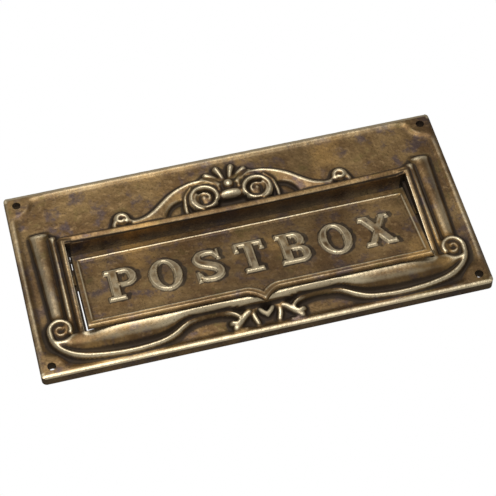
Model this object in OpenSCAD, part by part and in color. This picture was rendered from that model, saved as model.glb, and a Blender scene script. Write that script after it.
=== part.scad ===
// Letter plate: a cast brass front for a letter slot in a door, with a sprung lifting flap.
// +Z is up, the front faces -Y and the back face lies on y = 0. The origin is the middle of the back face.
// "Height" in the comments below is the distance a surface stands in front of the door, along -Y.

/* [Plate] */
// Width of the plate
plate_w = 262; // [256:1:270]
// Height of the plate
plate_h = 127; // [125:1:132]
// Thickness of the plate at its plain field
field_t = 5.2; // [4.8:0.1:6]
// Corner radius of the plate
corner_r = 3; // [2:0.5:5]
// Diameter of the four screw holes
screw_hole_d = 5; // [4:0.1:5.5]
// Distance from each screw hole to the two nearest edges
screw_inset = 7; // [6.5:0.1:7.5]
// Diameter of the half-round bead along the rim
rim_bead_d = 4.4; // [3.6:0.1:5]
// Thickness of metal left over the hollow back
wall_t = 2.4; // [2:0.1:2.8]

/* [Opening] */
// Width of the letter slot
slot_w = 202; // [201.6:0.2:203]
// Level of the slot's upper edge, above the middle of the plate
slot_top = 17; // [17:0.2:18]
// Level of the slot's lower edge
slot_bottom = -41.5; // [-42:0.1:-41]
// Height of the ledge over the slot
ledge_h = 15.6; // [14:0.2:16]
// Height of the side walls where they meet the lower moulding
side_low_h = 9.4; // [8:0.2:10]
// Height of the lower moulding's crest
sill_h = 14.5; // [13.5:0.1:14.7]

/* [Flap] */
// Width of the flap
flap_w = 200.6; // [198:0.2:200.8]
// Length of the flap below its hinge, along its own slope
flap_l = 57; // [56:0.5:58]
// Slope of the closed flap, its lower edge forward
flap_slope = 11; // [10.5:0.1:11.5]
// Thickness of the flap at its border
flap_t = 2.6; // [2.4:0.1:2.6]
// Depth of the sunk field of the flap
flap_sunk = 1; // [0.6:0.1:1.1]
// Width of the raised border of the flap
border_w = 3.8; // [3:0.1:5]
// Height of the capital letters
cap_h = 24.5; // [20:0.5:25]
// Distance between the middles of neighbouring letters
letter_pitch = 25; // [24:0.5:26]
// How far the letters stand off the sunk field
letter_relief = 1.4; // [0.8:0.1:1.5]

/* [Hinge] */
// Diameter of the hinge rod
rod_d = 2.5; // [2.4:0.1:2.6]
// Level of the hinge rod
rod_z = 12; // [11.8:0.1:12.2]
// Height of the rod's axis in front of the door
rod_h = 3; // [2.9:0.05:3.1]
// Wire diameter of the two springs
wire_d = 0.8; // [0.6:0.1:0.8]
// Number of turns in each spring
spring_turns = 8; // [5:1:9]

/* [Hidden] */
$fn = 36;
turn_fn = 26;
wire_fn = 14;
eps = 0.01;
brass = [0.60, 0.47, 0.26];
dark_brass = [0.54, 0.42, 0.23];
steel = [0.62, 0.62, 0.60];
hole_x = plate_w / 2 - screw_inset;
hole_z = plate_h / 2 - screw_inset;
bead_x = plate_w / 2 - rim_bead_d / 2;
bead_z = plate_h / 2 - rim_bead_d / 2;
slot_x = slot_w / 2;
wall_x = slot_x + 4.6;
side_bead_x = slot_x + 2.3;
outer_bead_x = slot_x + 7.6;
column_x = slot_x + 14.4;
volute_z = -35.7;
tilt = [-flap_slope, 0, 0];
rod_at = [0, -rod_h, rod_z];
front_d = 4.2;
back_d = front_d - flap_t;
flap_top = 1.2;
ogee_w = 10;
ogee_l = 8;
knuckle_r = 2.7;
fit = 0.05;
coil_r = rod_d / 2 + fit + wire_d / 2 + 0.15;
coil_x = 76;
coil_pitch = wire_d * 0.8;
leg_l = 13;
leg_d = wire_d - 0.06;
rod_end = 107.4;

// Points along a circular arc.
function arc(x, z, r, from, to, steps) =
  [for (i = [0 : steps]) let (a = from + (to - from) * i / steps) [x + r * cos(a), z + r * sin(a)]];

// Points along an ellipse's arc.
function oval(x, z, rx, rz, from, to, steps) =
  [for (i = [0 : steps]) let (a = from + (to - from) * i / steps) [x + rx * cos(a), z + rz * sin(a)]];

// The edge of one half of the lower scroll, from the outside to the middle.
scroll_edge = concat(
  arc(103.5, -38, 17.7, 0, -78, 12),
  arc(81.5, 32, 90.1, -78, -101, 8),
  arc(30.8, -76.4, 29.7, 62, 118, 10));

// A flat shape lying in the plate, raised from one height to another.
module raise(low, high) {
  translate([0, -low, 0]) rotate([90, 0, 0]) linear_extrude(height = high - low) children();
}

// A round bar along X between two positions.
module bar_x(x0, x1, h, z, d) {
  translate([x0, -h, z]) rotate([0, 90, 0]) cylinder(d = d, h = x1 - x0);
}

// A round bar between two points of the plate, given as x, height and level.
module bar(a, b, d1, d2) {
  v = [b[0] - a[0], a[1] - b[1], b[2] - a[2]];
  translate([a[0], -a[1], a[2]])
    rotate([0, acos(v[2] / norm(v)), atan2(v[1], v[0])])
      cylinder(d1 = d1, d2 = d2, h = norm(v));
}

// A bead bent to an arc in the face of the plate.
module arc_bead(x, z, r, from, to, h, d) {
  translate([x, -h, z]) rotate([90, 0, 0]) rotate([0, 0, from])
    rotate_extrude(angle = to - from, $fn = turn_fn) translate([r, 0]) circle(d = d, $fn = wire_fn);
}

module both_sides() {
  children();
  mirror([1, 0, 0]) children();
}

module rounded_rect(w, h, r) {
  for (x = [-1, 1], z = [-1, 1]) translate([x * (w / 2 - r), z * (h / 2 - r)]) circle(r = r);
  square([w - 2 * r, h], center = true);
  square([w, h - 2 * r], center = true);
}

// The plain plate with its half-round rim and the four pads round the screw holes.
module plain_plate() {
  raise(0, field_t) rounded_rect(plate_w, plate_h, corner_r);
  for (z = [-1, 1]) bar_x(-hole_x, hole_x, field_t - 0.9, z * bead_z, rim_bead_d);
  for (x = [-1, 1])
    bar([x * bead_x, field_t - 0.9, -hole_z], [x * bead_x, field_t - 0.9, hole_z], rim_bead_d, rim_bead_d);
  for (x = [-1, 1], z = [-1, 1]) {
    translate([x * hole_x, -field_t + eps, z * hole_z]) rotate([90, 0, 0])
      cylinder(r1 = screw_inset - 0.2, r2 = screw_inset - 1, h = 0.8);
  }
}

// The wall round the slot: high over the flap and falling towards the lower moulding.
module surround() {
  rotate([90, 0, 90]) translate([0, 0, -wall_x]) linear_extrude(height = 2 * wall_x)
    polygon([[0, slot_top], [-ledge_h, slot_top], [-ledge_h - 0.3, slot_top + 1.4],
      [-ledge_h + 0.4, slot_top + 2.8], [-10, slot_top + 5], [-field_t, slot_top + 10], [0, slot_top + 10]]);
  both_sides() {
    rotate([90, 0, 90]) translate([0, 0, slot_x]) linear_extrude(height = wall_x - slot_x)
      polygon([[0, slot_bottom - 4], [-side_low_h + 1, slot_bottom - 4],
        [-ledge_h + 1, slot_top + 2], [0, slot_top + 2]]);
    bar([side_bead_x, ledge_h - 1.7, slot_top + 1.6], [side_bead_x, side_low_h - 1.4, slot_bottom + 2], 3.2, 3.2);
    bar([outer_bead_x, 8, slot_top + 8], [outer_bead_x, 7, slot_bottom + 4], 4, 3.4);
    raise(field_t - eps, 8) translate([wall_x - 1, slot_bottom]) square([4, slot_top + 8 - slot_bottom]);
  }
}

// The tapered half-round columns outside the wall, each with a thin lip at the top and a volute below.
module columns() {
  both_sides() {
    bar([column_x, field_t + 0.3, 31], [column_x, field_t + 0.3, volute_z + 4], 10.6, 7);
    bar([column_x, field_t, 30.4], [column_x, field_t + 0.5, 33], 9, 11);
    arc_bead(column_x, volute_z, 5.2, 0, 360, 8.2, 2.2);
    translate([column_x, -field_t + eps, volute_z]) rotate([90, 0, 0]) cylinder(r = 5.4, h = 3);
    translate([column_x, -8.2, volute_z]) sphere(d = 4.6, $fn = 20);
  }
}

// The moulding under the flap: a crest next to the slot falling in a hollow to a beaded scroll edge.
module lower_moulding() {
  half = concat([[0, slot_bottom], [wall_x, slot_bottom], [121.2, volute_z]], scroll_edge, [[0, -50]]);
  both_sides() {
    raise(field_t - eps, 8) polygon(half);
    arc_bead(103.5, -38, 17.7, -80, 4, 7.8, 2.4);
    arc_bead(81.5, 32, 90.1, -103, -77, 7.8, 2.4);
    bar([61.5, 7.8, -55.8], [44.5, 7.8, -50], 2.4, 2.4);
    arc_bead(30.8, -76.4, 29.7, 62, 117, 7.8, 2.4);
    arc_bead(20, -53.3, 3.2, 0, 360, 7.4, 2.2);
    raise(field_t - eps, 7) translate([20, -53.3]) circle(r = 3.4);
  }
  bar_x(-wall_x, wall_x, sill_h - 5.6, slot_bottom - 4.6, 11.2);
  bar_x(-wall_x, wall_x, sill_h - 2.2, slot_bottom - 2.4, 4.4);
}

// The leaf that hangs below the point of the flap.
module hanging_leaf() {
  for (s = [-1, 1]) {
    bar([s * 1.5, 6.4, -50.5], [s * 5.5, 5.2, -56], 3.4, 2);
    bar([s * 6, 6.4, -49.5], [s * 15, 5.2, -57.5], 4, 2.2);
  }
}

// The crest over the ledge: a swan-neck on each side, a pair of volutes and a small shell between them.
module crest() {
  tail = concat(arc(57, 52, 24, -90, -138, 8), arc(22.5, 21.5, 22, 42, 105, 10));
  both_sides() {
    raise(field_t - eps, 7) polygon(concat([[0, slot_top + 8], [64, slot_top + 8], [64, 28]], tail, [[0, 42]]));
    arc_bead(57, 52, 24, -138.5, -72, 7, 2.2);
    arc_bead(22.5, 21.5, 22, 41, 106, 7.4, 2.8);
    arc_bead(65.5, 31.5, 3.6, 0, 360, 7.4, 2);
    translate([65.5, -field_t + eps, 31.5]) rotate([90, 0, 0]) cylinder(r = 3.8, h = 2);
    arc_bead(16, 33, 7.4, 0, 360, 9, 2.8);
    arc_bead(16, 33, 3.8, 0, 360, 9, 2.2);
    translate([16, -field_t + eps, 33]) rotate([90, 0, 0]) cylinder(r = 7.6, h = 3.4);
    translate([16, -8.8, 33]) sphere(d = 4, $fn = 20);
    bar([1.2, 6.4, 42], [4.4, 5.3, 54], 2.4, 3);
    bar([2.6, 6.4, 42], [10.4, 5.3, 50.5], 2.4, 3);
  }
  bar([0, 6, 44], [0, 7, 38.6], 2, 5.6);
  translate([0, -7, 38.6]) sphere(d = 6, $fn = 20);
  bar_x(-9, 9, 7, 31, 4.6);
}

// The hollow back, leaving the rim, the wall round the slot and a boss at each screw hole.
module hollow_back() {
  deep = field_t - wall_t;
  difference() {
    raise(-eps, deep) rounded_rect(plate_w - 8, plate_h - 8, corner_r);
    raise(-1, field_t) square([2 * wall_x, 2 * (slot_top + 4)], center = true);
    raise(-1, field_t) translate([-wall_x, slot_bottom - 4]) square([2 * wall_x, 40]);
    for (x = [-1, 1], z = [-1, 1]) {
      translate([x * hole_x, 1, z * hole_z]) rotate([90, 0, 0]) cylinder(r = screw_inset + 1, h = field_t + 1);
    }
  }
  both_sides() raise(-eps, 6.4) translate([wall_x, rod_z - 4]) square([4.4, 8]);
}

// Small cast rests behind the side edges of the flap, just clear of it when it is closed.
module flap_rests() {
  slope = tan(flap_slope);
  foot = rod_h + back_d / cos(flap_slope) - 0.15;
  both_sides() rotate([90, 0, 90]) translate([0, 0, slot_x - 4.5]) linear_extrude(height = 5)
    polygon([[-1.5, 4], [-foot - (rod_z - 4) * slope, 4], [-foot - (rod_z + 8) * slope, -8], [-1.5, -8]]);
}

module plate() {
  color(brass) {
    difference() {
      union() {
        plain_plate();
        surround();
        columns();
        lower_moulding();
        hanging_leaf();
        crest();
      }
      raise(-1, ledge_h + 4) translate([-slot_x, slot_bottom]) square([slot_w, slot_top - slot_bottom]);
      hollow_back();
      for (x = [-1, 1], z = [-1, 1]) {
        translate([x * hole_x, 1, z * hole_z]) rotate([90, 0, 0]) cylinder(d = screw_hole_d, h = field_t + 4);
      }
      bar_x(-wall_x - 1, wall_x + 1, rod_h, rod_z, rod_d);
      both_sides() bar([coil_x + 4, rod_h - coil_r, slot_top - 1], [coil_x + 4, rod_h - coil_r, slot_top + 4],
        wire_d + 0.2, wire_d + 0.2);
    }
    flap_rests();
  }
}

// The outline of the flap on its own slope: straight sides and a short ogee point in the lower edge.
function flap_outline(inset) = let (x = flap_w / 2 - inset, low = -flap_l + inset, w = ogee_w - inset * 0.3) concat(
  [[-x, low], [-x, flap_top - inset], [x, flap_top - inset], [x, low]],
  [for (i = [0 : 8]) let (t = i / 8) [w * (1 - t), low - (ogee_l - inset * 0.2) * pow(t, 1.7)]],
  [for (i = [7 : -1 : 0]) let (t = i / 8) [-w * (1 - t), low - (ogee_l - inset * 0.2) * pow(t, 1.7)]]);

// Flat shapes of the letters, each one cap_h high and centred on its own middle.
stem = 5.4;
serif = 3.2;

module slab(x, w, z) {
  translate([x - w / 2, z]) square([w, serif]);
}

module upright(x, w) {
  translate([x - stem / 2, 0]) square([stem, cap_h]);
  slab(x, w, 0);
  slab(x, w, cap_h - serif);
}

module bowl(x, z, w, h) {
  difference() {
    polygon(concat([[x, z]], oval(x + w - h / 2, z + h / 2, h / 2, h / 2, -90, 90, 14), [[x, z + h]]));
    polygon(concat([[x - 1, z + serif]],
      oval(x + w - h / 2, z + h / 2, h / 2 - stem * 0.8, h / 2 - serif, -90, 90, 14), [[x - 1, z + h - serif]]));
  }
}

module letter_p() {
  upright(-4.6, 10.4);
  bowl(-4.6, cap_h * 0.42, 13.4, cap_h * 0.58);
}

module letter_b() {
  upright(-4, 9);
  bowl(-4, cap_h * 0.47, 11.5, cap_h * 0.53);
  bowl(-4, 0, 12.8, cap_h * 0.55);
}

module letter_o() {
  difference() {
    polygon(oval(0, cap_h / 2, 9.6, cap_h / 2, 0, 351, 39));
    polygon(oval(0, cap_h / 2, 4.8, cap_h / 2 - 2.6, 0, 351, 39));
  }
}

module letter_t() {
  translate([-stem / 2, 0]) square([stem, cap_h]);
  slab(0, 11, 0);
  slab(0, 17, cap_h - serif);
  for (x = [-8.5, 6]) translate([x, cap_h - 6.6]) square([2.5, 6.6]);
}

module letter_s() {
  r = cap_h / 4 + 0.85;
  difference() {
    polygon(oval(0, cap_h - r, 7.6, r, 0, 351, 39));
    polygon(oval(0, cap_h - r, 3.6, r - 3.4, 0, 351, 39));
    translate([0, cap_h - 2 * r + 0.4]) square([9, r - 0.4]);
  }
  difference() {
    polygon(oval(0, r, 8.2, r, 0, 351, 39));
    polygon(oval(0, r, 4.0, r - 3.4, 0, 351, 39));
    translate([-9, r]) square([9, r - 0.4]);
  }
  translate([5.2, cap_h - 7]) square([2.4, 7]);
  translate([-8, 0]) square([2.4, 7]);
}

module letter_x() {
  foot = 6.2;
  half = stem / 2;
  polygon([[half - foot, 0], [-half - foot, 0], [foot - half, cap_h], [foot + half, cap_h]]);
  polygon([[foot - half, 0], [foot + half, 0], [half - foot, cap_h], [-half - foot, cap_h]]);
  for (x = [-foot, foot], z = [0, cap_h - serif]) slab(x, 6.2, z);
}

module legend() {
  at = -flap_l / 2 - cap_h / 2 - 1;
  translate([-3 * letter_pitch, at]) letter_p();
  translate([-2 * letter_pitch, at]) letter_o();
  translate([-letter_pitch, at]) letter_s();
  translate([0, at]) letter_t();
  translate([letter_pitch, at]) letter_b();
  translate([2 * letter_pitch, at]) letter_o();
  translate([3 * letter_pitch, at]) letter_x();
}

module flap() {
  field_d = front_d - flap_sunk;
  color(dark_brass) translate(rod_at) rotate(tilt) {
    difference() {
      union() {
        raise(back_d, front_d) polygon(flap_outline(0));
        both_sides() {
          bar_x(88, 97, 0, 0, 2 * knuckle_r);
          bar_x(58, 66, 0, 0, 2 * knuckle_r);
          translate([coil_x - 4.6, -back_d - eps, -leg_l - 1.4]) cube([2, back_d + coil_r + 1, 3]);
        }
      }
      raise(field_d, front_d + 1) polygon(flap_outline(border_w));
      bar_x(-flap_w, flap_w, 0, 0, rod_d + 2 * fit);
      both_sides() {
        bar_x(67, 87, 0, 0, 2 * (coil_r + wire_d / 2 + 0.25));
        bar_x(coil_x - 6, coil_x - 1, -coil_r, -leg_l, wire_d + 0.2);
      }
    }
    raise(field_d - eps, field_d + letter_relief) legend();
  }
}

module hinge_rod() {
  color(steel) bar_x(-rod_end, rod_end, rod_h, rod_z, rod_d);
}

// Each spring is close-wound on the rod. One leg stands up into the ledge and the other runs down behind the
// flap and turns into a cast lug, so that the wire draws the flap shut.
module spring() {
  n = spring_turns;
  color(steel) {
    translate(rod_at) for (i = [0 : n - 1]) {
      translate([coil_x + 4 - i * coil_pitch, 0, 0]) rotate([0, 90, 0])
        rotate_extrude($fn = turn_fn) translate([coil_r, 0]) circle(d = wire_d, $fn = wire_fn);
    }
    bar([coil_x + 4, rod_h - coil_r, rod_z], [coil_x + 4, rod_h - coil_r, slot_top + 3.4], leg_d, leg_d);
    translate(rod_at) rotate(tilt) {
      x = coil_x + 4 - (n - 1) * coil_pitch;
      bar([x, -coil_r, 0], [x, -coil_r, -leg_l - leg_d / 2], leg_d, leg_d);
      bar_x(coil_x - 5.2, x, -coil_r, -leg_l, leg_d - 0.05);
    }
  }
}

module spring_right() {
  spring();
}

module spring_left() {
  mirror([1, 0, 0]) spring();
}

// Push-on caps that grip the ends of the rod in the hollow beside the slot.
module rod_caps() {
  color(steel) both_sides() difference() {
    union() {
      bar_x(wall_x + 0.1, wall_x + 0.9, rod_h, rod_z, 5.2);
      bar_x(wall_x + 0.8, wall_x + 2.4, rod_h, rod_z, 3.8);
    }
    bar_x(wall_x - 1, rod_end + 0.1, rod_h, rod_z, rod_d);
  }
}

plate();
flap();
hinge_rod();
spring_left();
spring_right();
rod_caps();
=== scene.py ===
import math

import bmesh
import bpy
import numpy as np
from mathutils import Matrix, Vector


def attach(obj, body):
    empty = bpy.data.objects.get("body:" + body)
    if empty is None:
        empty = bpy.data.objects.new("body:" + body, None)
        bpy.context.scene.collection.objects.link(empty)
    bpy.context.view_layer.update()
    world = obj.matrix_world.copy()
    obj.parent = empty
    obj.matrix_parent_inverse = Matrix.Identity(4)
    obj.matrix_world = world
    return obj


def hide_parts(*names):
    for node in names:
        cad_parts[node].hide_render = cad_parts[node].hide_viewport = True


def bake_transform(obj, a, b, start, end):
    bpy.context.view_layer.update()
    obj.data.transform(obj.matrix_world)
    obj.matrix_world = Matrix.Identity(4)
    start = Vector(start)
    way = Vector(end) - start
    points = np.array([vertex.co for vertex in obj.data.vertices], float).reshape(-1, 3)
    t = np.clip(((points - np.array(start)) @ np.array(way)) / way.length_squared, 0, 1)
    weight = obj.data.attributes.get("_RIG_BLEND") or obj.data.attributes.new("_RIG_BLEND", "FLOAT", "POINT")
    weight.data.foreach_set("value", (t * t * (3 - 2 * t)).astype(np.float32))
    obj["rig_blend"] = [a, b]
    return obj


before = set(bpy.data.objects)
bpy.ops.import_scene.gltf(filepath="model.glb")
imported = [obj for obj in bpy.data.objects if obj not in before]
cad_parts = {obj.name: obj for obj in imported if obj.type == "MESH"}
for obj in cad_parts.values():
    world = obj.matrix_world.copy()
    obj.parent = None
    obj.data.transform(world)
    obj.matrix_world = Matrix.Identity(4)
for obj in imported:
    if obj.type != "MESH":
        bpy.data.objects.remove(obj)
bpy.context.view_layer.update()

# --- Camera, floor and light -----------------------------------------------------------------------------
# The plate hangs upright as on its door and is looked at from below and a little to the left, in even soft
# light that comes straight at its face. The floor lies well below it.
MM = 0.001
EYE = Vector((-0.1387, -0.8418, -0.5680))
RIGHT = Vector((0.96930, 0.00379, -0.24587))
AHEAD = Vector((0.13702, 0.82195, 0.55284))

ahead = AHEAD.normalized()
right = (RIGHT - ahead * RIGHT.dot(ahead)).normalized()
up = right.cross(ahead)
lens = bpy.data.cameras.new("camera")
lens.sensor_width = 36
lens.lens = 127.7
camera = bpy.data.objects.new("camera", lens)
camera.matrix_world = Matrix.Translation(EYE) @ Matrix((right, up, -ahead)).transposed().to_4x4()
bpy.context.collection.objects.link(camera)
bpy.context.scene.camera = camera
bpy.context.scene.view_settings.view_transform = "Standard"


class Sum:
    """A value in a shader: sums written with it become Math nodes."""

    def __init__(self, tree, socket):
        self.tree, self.socket = tree, socket

    def maths(self, operation, first, second):
        node = self.tree.nodes.new("ShaderNodeMath")
        node.operation = operation
        for socket, value in zip(node.inputs, (first, second)):
            put(self.tree, socket, value)
        return Sum(self.tree, node.outputs[0])

    def __add__(self, other):
        return self.maths("ADD", self, other)

    __radd__ = __add__

    def __mul__(self, other):
        return self.maths("MULTIPLY", self, other)

    __rmul__ = __mul__

    def __sub__(self, other):
        return self.maths("SUBTRACT", self, other)

    def __rsub__(self, other):
        return self.maths("SUBTRACT", other, self)

    def ramp(self, low, high):
        """0 below low, 1 above high and a smooth step between them."""
        node = self.tree.nodes.new("ShaderNodeMapRange")
        node.interpolation_type = "SMOOTHSTEP"
        for socket, value in zip(node.inputs, (self, low, high, 0.0, 1.0)):
            put(self.tree, socket, value)
        return Sum(self.tree, node.outputs[0])


def put(tree, socket, value):
    """Links a value to a socket, or sets it there."""
    if isinstance(value, Sum):
        value = value.socket
    if isinstance(value, bpy.types.NodeSocket):
        tree.links.new(value, socket)
    elif hasattr(socket.default_value, "__len__") and len(socket.default_value) == 4 and len(value) == 3:
        socket.default_value = (*value, 1.0)
    else:
        socket.default_value = value


class Finish:
    """A material under construction: each call adds a node of any type and gives back its first output."""

    def __init__(self, name, world=None):
        self.owner = world or bpy.data.materials.new(name)
        self.owner.use_nodes = True
        self.tree = self.owner.node_tree
        self.tree.nodes.clear()

    def node(self, kind, settings=None, output=0, **sockets):
        """A node with its settings and its sockets, which are named, or numbered as i0, i1 and so on."""
        node = self.tree.nodes.new("ShaderNode" + kind)
        for key, value in (settings or {}).items():
            setattr(node, key, value)
        for key, value in sockets.items():
            key = int(key[1:]) if key[0] == "i" and key[1:].isdigit() else key.replace("_", " ")
            put(self.tree, node.inputs[key], value)
        return Sum(self.tree, node.outputs[output])

    def blend(self, amount, first, second):
        settings = {"data_type": "RGBA", "blend_type": "MIX", "clamp_factor": True}
        return self.node("Mix", settings, 2, i0=amount, i6=first, i7=second)

    def patch(self, scale, detail, rough, stretch=(1, 1, 1), seat=(0, 0, 0)):
        """Fine irregular mottling, from 0 to 1, fixed to the piece."""
        place = self.node("TexCoord", output=3)
        place = self.node("Mapping", Vector=place, Scale=stretch, Location=seat)
        return self.node("TexNoise", Vector=place, Scale=scale, Detail=detail, Roughness=rough)

    def finish(self, surface):
        end = self.tree.nodes.new("ShaderNodeOutputWorld" if self.owner.id_type == "WORLD" else
                                  "ShaderNodeOutputMaterial")
        self.tree.links.new(surface.socket, end.inputs["Surface"])
        return self.owner


def area_light(name, place, aim, size, power):
    data = bpy.data.lights.new(name, "AREA")
    data.shape = "DISK"
    data.size = size
    data.energy = power
    lamp = bpy.data.objects.new(name, data)
    lamp.location = place
    lamp.rotation_euler = (Vector(aim) - Vector(place)).to_track_quat("-Z", "Y").to_euler()
    bpy.context.collection.objects.link(lamp)


area_light("front_light", (-0.15, -1.3, 0.12), (0, 0, 0), 0.6, 12)
area_light("back_light", (0.5, 1.2, 0.7), (0, 0, 0), 1.0, 9)

air = bpy.data.worlds.new("air")
bpy.context.scene.world = air
sky = Finish("air", air)
seen = sky.node("LightPath")
white = sky.node("Background", Color=(1, 1, 1), Strength=1.0)
soft = sky.node("Background", Color=(1.0, 0.98, 0.96), Strength=0.30)
sky.finish(sky.node("MixShader", i0=seen, i1=soft, i2=white))

floor_mesh = bmesh.new()
bmesh.ops.create_grid(floor_mesh, x_segments=1, y_segments=1, size=4)
bmesh.ops.translate(floor_mesh, verts=floor_mesh.verts, vec=(0, 0, -1.0))
floor_data = bpy.data.meshes.new("floor")
floor_mesh.to_mesh(floor_data)
floor = bpy.data.objects.new("floor", floor_data)
bpy.context.collection.objects.link(floor)
paper = Finish("pale_floor")
card = paper.node("BsdfPrincipled", Base_Color=(0.85, 0.85, 0.84), Roughness=0.8)
floor_data.materials.append(paper.finish(card))

# --- The plate -------------------------------------------------------------------------------------------
# One sand casting in brass with all its ornament: rim, corner pads, slot wall, columns, volutes, scroll,
# leaf and crest. Screws through its four corner holes hold it to the door. Its face is one fine sheet: the
# functions below give a point's height over the door in mm, with u its distance from the middle line.
PLATE_W, PLATE_H = 262.0, 127.0
GRAIN = 0.5
FIELD = 5.2
SLOT_X, SLOT_TOP, SLOT_LOW = 101.0, 17.0, -41.5
HOLE_X, HOLE_Z, HOLE_R = 124.0, 56.5, 2.5
CORNER = 3.0
RIM_W, RIM_H, PAD_R = 4.7, 1.5, 7.8
LEDGE_H, LEDGE_END, BOW = 10.0, 104.0, 1.7
COLUMN_X, COLUMN_TOP, COLUMN_L = 115.4, 32.5, 64.0


def step(a, b, v):
    """0 below a, 1 above b and a smooth step between them. a may be above b."""
    t = np.clip((v - a) / (b - a), 0, 1)
    return t * t * (3 - 2 * t)


def arc(x, z, rx, rz, start, end, count):
    """Points along an arc of an ellipse, by angle in degrees."""
    a = np.radians(np.linspace(start, end, count))
    return np.stack([x + rx * np.cos(a), z + rz * np.sin(a)], 1)


def spiral(x, z, r0, r1, start, end, count):
    """Points along an arc whose radius goes from r0 to r1, by angle in degrees."""
    a = np.linspace(start, end, count)
    r = np.linspace(r0, r1, count)
    return np.stack([x + r * np.cos(np.radians(a)), z + r * np.sin(np.radians(a))], 1)


def curve(points, count=10):
    """A smooth line through a few points."""
    p = np.array(points, float)
    p = np.vstack([2 * p[0] - p[1], p, 2 * p[-1] - p[-2]])
    out = []
    for a, b, c, d in zip(p, p[1:], p[2:], p[3:]):
        t = np.linspace(0, 1, count, endpoint=False)[:, None]
        square = (2 * a - 5 * b + 4 * c - d) * t ** 2
        cube = (3 * b - a - 3 * c + d) * t ** 3
        out.append(0.5 * (2 * b + (c - a) * t + square + cube))
    return np.vstack([*out, p[-2:-1]])


def near(px, pz, line, reach):
    """Distance from each point to a line of points, and how far along it, from 0 to 1, that is."""
    gap = np.full(px.shape, 1e3)
    along = np.zeros(px.shape)
    low, high = line.min(0) - reach, line.max(0) + reach
    inside = (px > low[0]) & (px < high[0]) & (pz > low[1]) & (pz < high[1])
    qx, qz = px[inside], pz[inside]
    best = np.full(qx.shape, 1e3)
    where = np.zeros(qx.shape)
    lengths = np.hypot(*np.diff(line, axis=0).T)
    total, run = lengths.sum(), 0.0
    for (ax, az), (bx, bz), length in zip(line, line[1:], lengths):
        t = np.clip(((qx - ax) * (bx - ax) + (qz - az) * (bz - az)) / max(length ** 2, 1e-9), 0, 1)
        d = np.hypot(qx - ax - t * (bx - ax), qz - az - t * (bz - az))
        closer = d < best
        best = np.where(closer, d, best)
        where = np.where(closer, (run + t * length) / total, where)
        run += length
    gap[inside] = best
    along[inside] = where
    return gap, along


def bead(px, pz, line, wide, tall, full=2):
    """Height of a bead along a line. wide (half its width) and tall are numbers or (start, end).

    It is half round, and flatter on top when full is more than 2.
    """
    w0, w1 = wide if isinstance(wide, tuple) else (wide, wide)
    h0, h1 = tall if isinstance(tall, tuple) else (tall, tall)
    gap, along = near(px, pz, line, max(w0, w1) + 1)
    w = w0 + (w1 - w0) * along
    h = h0 + (h1 - h0) * along
    return h * np.sqrt(np.clip(1 - (gap / w) ** full, 0, 1))


def half_round(off, half):
    """Height of a half-round bead, 1 tall, at a distance off its middle line."""
    return np.sqrt(np.clip(1 - (off / half) ** 2, 0, 1))


def dome(px, pz, x, z, rx, rz, tall):
    """Height of a domed oval."""
    return tall * np.sqrt(np.clip(1 - ((px - x) / rx) ** 2 - ((pz - z) / rz) ** 2, 0, 1))


def soft_max(a, b, k):
    """The larger of two heights, with the corner between them rounded by about k."""
    return 0.5 * (a + b + np.sqrt((a - b) ** 2 + k * k))


def soft_min(a, b, k):
    """The smaller of two heights, rounded in the same way."""
    return -soft_max(-a, -b, k)


# Half of the lower scroll's beaded edge, from the volute to the middle, and of the crest's outline.
VOLUTE = (115.2, -35.6)
SCROLL = np.vstack([
    arc(*VOLUTE, 5.9, 5.9, 205, 10, 20),
    curve([(121.0, -37), (120.2, -42), (117.6, -46.6), (113.6, -50.4), (108, -53.5), (101, -55.6),
           (91, -57.2), (80, -57.9), (70, -57.6), (60, -56.2), (53, -53.4), (47.5, -50.0), (43, -47.9),
           (37, -46.8), (30, -46.5), (24, -47.0), (19.4, -48.3), (16.4, -50.6), (15.8, -53.4), (17.8, -55.4),
           (20.6, -54.6)])])
CREST_EDGE = curve([(62.2, 30.6), (60.0, 28.6), (56, 28.2), (51, 29.6), (46.5, 32.1), (42, 35.5),
                    (37.5, 39.1), (32, 42.4), (26, 44.7), (19.5, 46.0), (13, 45.2), (9.0, 42.0)])
CREST_VOLUTE = (15.8, 32.6)
WINDOW = (28.4, 23.4)
# How the moulding under the slot falls, from its crest (0) to the scroll's edge (1).
SILL = curve([(0, 1.0), (0.16, 0.92), (0.34, 0.76), (0.50, 0.44), (0.62, 0.15), (0.74, 0.0), (1.0, 0.0)], 20)


def scroll_level(px):
    """Level of the scroll's edge under the slot at each x."""
    line = SCROLL[(SCROLL[:, 0] > 19) & (SCROLL[:, 1] < -40)]
    keep = np.concatenate([[True], np.diff(np.minimum.accumulate(line[:, 0])) < 0])
    line = line[keep][::-1]
    return np.interp(px, line[:, 0], line[:, 1])


def bow(x):
    """How far the ledge's lower edge stands over SLOT_TOP at x: it bows up towards its ends."""
    return BOW * (np.clip(np.abs(x), 0, LEDGE_END) / LEDGE_END) ** 2 - 0.2


def rim(u, z):
    """A low bead just inside the outline, swinging round a pad at each screw hole, and the chamfered brim."""
    edge = np.minimum(PLATE_W / 2 - u, PLATE_H / 2 - np.abs(z))
    hole = np.hypot(u - HOLE_X, np.abs(z) - HOLE_Z)
    inside = soft_min(edge - RIM_W, hole - PAD_R, 4.2)
    brim = np.clip(2.5 - edge, 0, None)
    return RIM_H * step(1.3, -2.3, inside) - 0.29 * brim ** 2 / (brim + 0.5) - 0.4 * step(0.5, -0.1, edge)


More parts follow.
